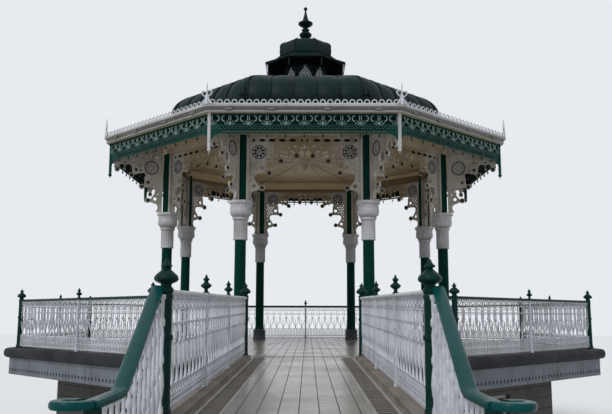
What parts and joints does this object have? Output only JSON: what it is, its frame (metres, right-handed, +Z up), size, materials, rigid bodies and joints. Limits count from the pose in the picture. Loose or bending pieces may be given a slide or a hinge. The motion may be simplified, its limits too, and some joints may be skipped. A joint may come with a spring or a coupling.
{
  "type": "bandstand",
  "caption": "Octagonal seaside bandstand: iron columns and fretwork arches under a ribbed roof with lantern, on a railed platform reached by a bridge and steps.",
  "frame": {"origin": "on the ground at the centre of the octagon, on the underside of the undercroft floor", "axes": "+Z up, +Y from the centre away from the bridge (the bridge and its steps run towards -Y), +X to the right seen from the bridge"},
  "size_m": [16.36, 27.6, 14.655],
  "materials": {
    "column_green": "dark bottle green gloss paint on cast iron",
    "rail_green": "dark teal green gloss paint on iron rails",
    "fret_white": "off-white gloss paint on cast iron",
    "valance_green": "green gloss paint on cast iron lace",
    "roof_lead": "dark grey-green painted sheet with rolls",
    "lantern_green": "dark green painted sheet",
    "boarded_ceiling": "cream painted tongued boards",
    "coping_stone": "dark weathered stone",
    "plinth_stone": "grey stone",
    "deck_tiles": "wet beige-grey square tiles",
    "undercroft_masonry": "dark painted masonry",
    "door_boards": "dark brown boards",
    "door_frame": "pale grey painted timber",
    "step_stone": "worn stone treads",
    "girder_paint": "dark painted plate girders",
    "grating_iron": "dark rusted iron grating"
  },
  "bodies": {
    "root": {"undercroft_floor": "undercroft_masonry", "undercroft_walls_cardinal": "undercroft_masonry", "undercroft_walls_diagonal": "undercroft_masonry", "undercroft_door_frames": "door_frame", "undercroft_doors": "door_boards", "platform_slab": "deck_tiles", "platform_coping": "coping_stone", "fascia": "fret_white", "railing_right": "fret_white", "railing_back_right": "fret_white", "railing_back": "fret_white", "railing_back_left": "fret_white", "railing_left": "fret_white", "railing_front_left": "fret_white", "railing_front": "fret_white", "railing_front_right": "fret_white", "platform_handrails": "rail_green", "corner_newels": "rail_green", "railing_mid_posts": "rail_green", "bridge_deck": "deck_tiles", "bridge_gratings": "grating_iron", "bridge_kerbs": "coping_stone", "bridge_girders": "girder_paint", "bridge_parapets": "fret_white", "bridge_handrails": "fret_white", "bridge_end_newels": "rail_green", "bridge_foot_newels": "rail_green", "bridge_posts": "rail_green", "abutment": "undercroft_masonry", "step_1": "step_stone", "step_2": "step_stone", "step_3": "step_stone", "step_4": "step_stone", "stair_balustrades": "fret_white", "stair_handrails": "rail_green", "stair_foot_posts": "rail_green", "column_plinths": "plinth_stone", "column_shafts": "column_green", "column_capitals": "fret_white", "column_upper_posts": "column_green", "arch_frets": "fret_white", "eaves_brackets": "fret_white", "ring_beam": "fret_white", "ceiling": "boarded_ceiling", "eaves_soffit": "boarded_ceiling", "cornice": "fret_white", "valances": "valance_green", "corner_drops": "fret_white", "roof_cresting": "fret_white", "corner_pinnacles": "fret_white", "roof_skirt": "roof_lead", "main_roof": "roof_lead", "lantern_drum": "lantern_green", "lantern_lattice": "fret_white", "lantern_roof": "lantern_green", "lantern_cap": "lantern_green", "finial": "lantern_green"}
  },
  "joints": []
}
